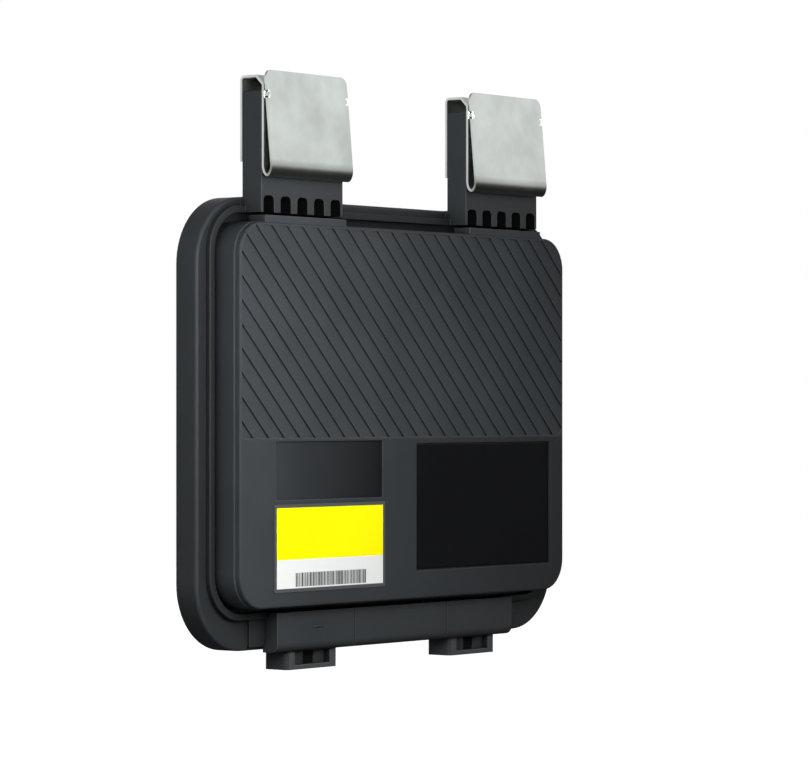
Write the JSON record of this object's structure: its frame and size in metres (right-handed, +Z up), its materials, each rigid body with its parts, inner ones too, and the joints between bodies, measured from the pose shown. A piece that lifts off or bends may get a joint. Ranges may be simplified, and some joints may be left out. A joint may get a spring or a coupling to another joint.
{
  "type": "power optimizer",
  "caption": "Flat sealed power optimizer with a striped lid, two slotted arms with sprung frame clips, and cable lugs below.",
  "frame": {"origin": "centre of the flat rear face, level with the middle of the flange", "axes": "+Z up towards the frame clips, +Y to the rear out of the flat face, +X to the right as seen from the front"},
  "size_m": [0.1384, 0.023, 0.1397],
  "materials": {
    "housing_plastic": "fine grained black moulding",
    "lid_plastic": "fine grained charcoal moulding",
    "cover_plastic": "fine grained black moulding",
    "seal_rubber": "soft black rubber",
    "clip_steel": "satin stainless sheet",
    "label_film": "yellow and white film",
    "rating_film": "near black film",
    "tinned_brass": "tinned",
    "board_resin": "green solder mask",
    "screw_steel": "zinc plated",
    "spreader_aluminium": "rolled",
    "pad_silicone": "soft pad",
    "chip_resin": "moulded resin",
    "ferrite": "sintered grey",
    "copper_wire": "enamelled copper",
    "can_aluminium": "drawn can",
    "capacitor_resin": "brown resin"
  },
  "bodies": {
    "root": {"base_housing": "housing_plastic", "front_lid": "lid_plastic", "lid_seal": "seal_rubber", "cable_lug_left": "cover_plastic", "cable_lug_right": "cover_plastic", "cable_clamp_left": "cover_plastic", "cable_cover_middle": "cover_plastic", "cable_clamp_right": "cover_plastic", "frame_clip_left": "clip_steel", "frame_clip_right": "clip_steel", "product_label": "label_film", "rating_label": "rating_film", "cable_seals": "seal_rubber", "lead_terminals": "tinned_brass", "circuit_board": "board_resin", "board_screws": "screw_steel", "heat_spreader": "spreader_aluminium", "thermal_pad": "pad_silicone", "power_transistors": "chip_resin", "power_core": "ferrite", "power_winding": "copper_wire", "coupling_core": "ferrite", "coupling_winding": "copper_wire", "input_capacitors": "can_aluminium", "output_capacitors": "capacitor_resin", "bypass_diode": "chip_resin", "controller_chip": "chip_resin", "support_chips": "chip_resin"}
  },
  "joints": []
}
